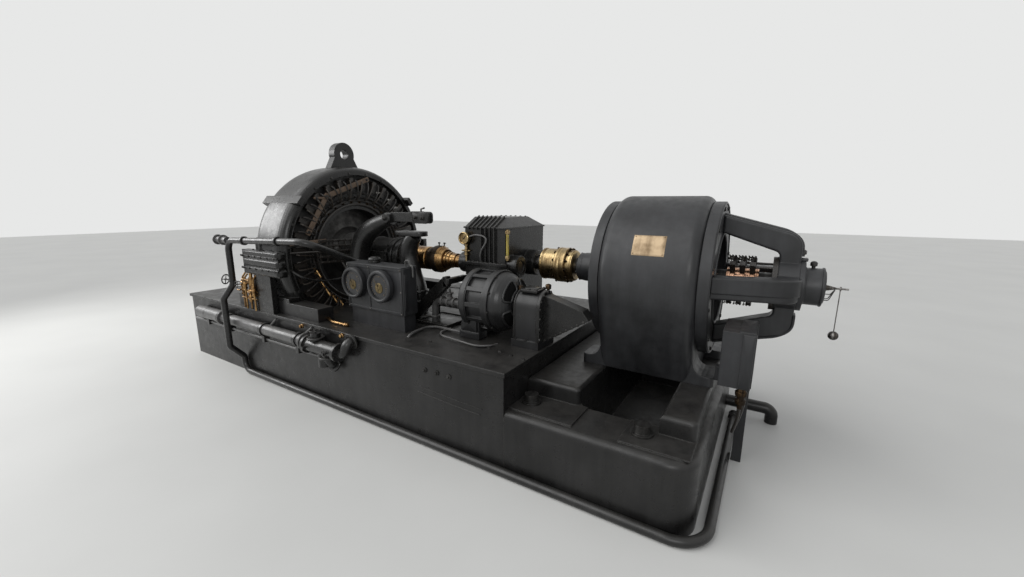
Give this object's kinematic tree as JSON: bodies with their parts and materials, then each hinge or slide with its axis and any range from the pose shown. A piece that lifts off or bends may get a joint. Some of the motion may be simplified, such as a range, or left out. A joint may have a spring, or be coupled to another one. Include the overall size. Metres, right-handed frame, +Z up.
{
  "type": "high-frequency alternator set",
  "caption": "Drive motor, step-up gear case and large split-stator disc alternator on one cast bed, with an oil-pump set, cooling pipes and gauges.",
  "frame": {"origin": "on the floor at the middle of the bed, under the shaft line's side", "axes": "+X along the shafts from the alternator to the motor, +Y to the rear, +Z up"},
  "size_m": [6.3723, 2.5079, 2.46],
  "materials": {
    "bed_paint": "worn semi-gloss black paint",
    "machine_paint": "worn semi-gloss black paint",
    "motor_paint": "satin dark grey paint",
    "pipe_paint": "semi-gloss black paint",
    "cabinet_paint": "satin black paint",
    "dial_glass": "dark glazed dial",
    "brass": "aged, partly polished",
    "copper": "turned copper",
    "turned_steel": "turned, oiled",
    "core_iron": "dark laminated iron",
    "coil_wrap": "varnished fibre and tape"
  },
  "bodies": {
    "base": {"upper_bed": "bed_paint", "bed_top_plate": "bed_paint", "motor_bed": "bed_paint", "side_rails": "bed_paint", "drain_elbow": "bed_paint", "stator_upper_half": "machine_paint", "stator_lower_half": "machine_paint", "lifting_eye": "machine_paint", "coolant_headers": "machine_paint", "bearing_pedestals": "machine_paint", "bearing_caps": "machine_paint", "air_horns": "machine_paint", "lever_bars": "machine_paint", "gear_case_upper": "machine_paint", "gear_case_lower": "machine_paint", "drive_cover": "machine_paint", "motor_frame": "motor_paint", "motor_end_shields": "motor_paint", "motor_bracket": "motor_paint", "motor_bearing": "motor_paint", "pump_motor_frame": "motor_paint", "pump_motor_bells": "motor_paint", "oil_pump": "motor_paint", "oil_pipe": "pipe_paint", "floor_pipe": "pipe_paint", "cooling_main": "pipe_paint", "pipe_straps": "pipe_paint", "line_valve": "pipe_paint", "gauge_cabinet": "cabinet_paint", "terminal_box": "cabinet_paint", "gauge_dials": "dial_glass", "coolant_valve": "brass", "gear_fittings": "brass", "shaft_end_stand": "turned_steel", "foundation_bolts": "turned_steel", "armature_rings": "core_iron", "coil_terminals": "coil_wrap", "brush_gear": "coil_wrap"},
    "alternator_rotor": {"alternator_shaft": "turned_steel", "rotor_disc": "turned_steel", "high_speed_coupling": "brass", "pinion_shaft": "turned_steel"},
    "motor_rotor": {"motor_shaft": "turned_steel", "slip_rings": "copper", "low_speed_coupling": "brass", "gear_wheel": "turned_steel"},
    "pump_rotor": {"pump_shaft": "turned_steel"},
    "pendulum": {"pendulum": "turned_steel"}
  },
  "joints": [
    {"name": "motor_spin", "type": "hinge", "parent": "base", "child": "motor_rotor", "pos_m": [2.335, 0.115, 1.28], "axis": [1, 0, 0], "continuous": true},
    {"name": "alternator_spin", "type": "hinge", "parent": "base", "child": "alternator_rotor", "pos_m": [-1.105, -0.205, 1.28], "axis": [1, 0, 0], "continuous": true},
    {"name": "pump_spin", "type": "hinge", "parent": "base", "child": "pump_rotor", "pos_m": [1.1225, -0.54, 1.042], "axis": [1, 0, 0], "continuous": true},
    {"name": "pendulum_swing", "type": "hinge", "parent": "base", "child": "pendulum", "pos_m": [3.461, 0.115, 1.28], "axis": [1, 0, 0], "range_deg": [-20, 20]}
  ],
  "couplings": [
    {"joint": "alternator_spin", "follows": "motor_spin", "ratio": -2.973}
  ]
}
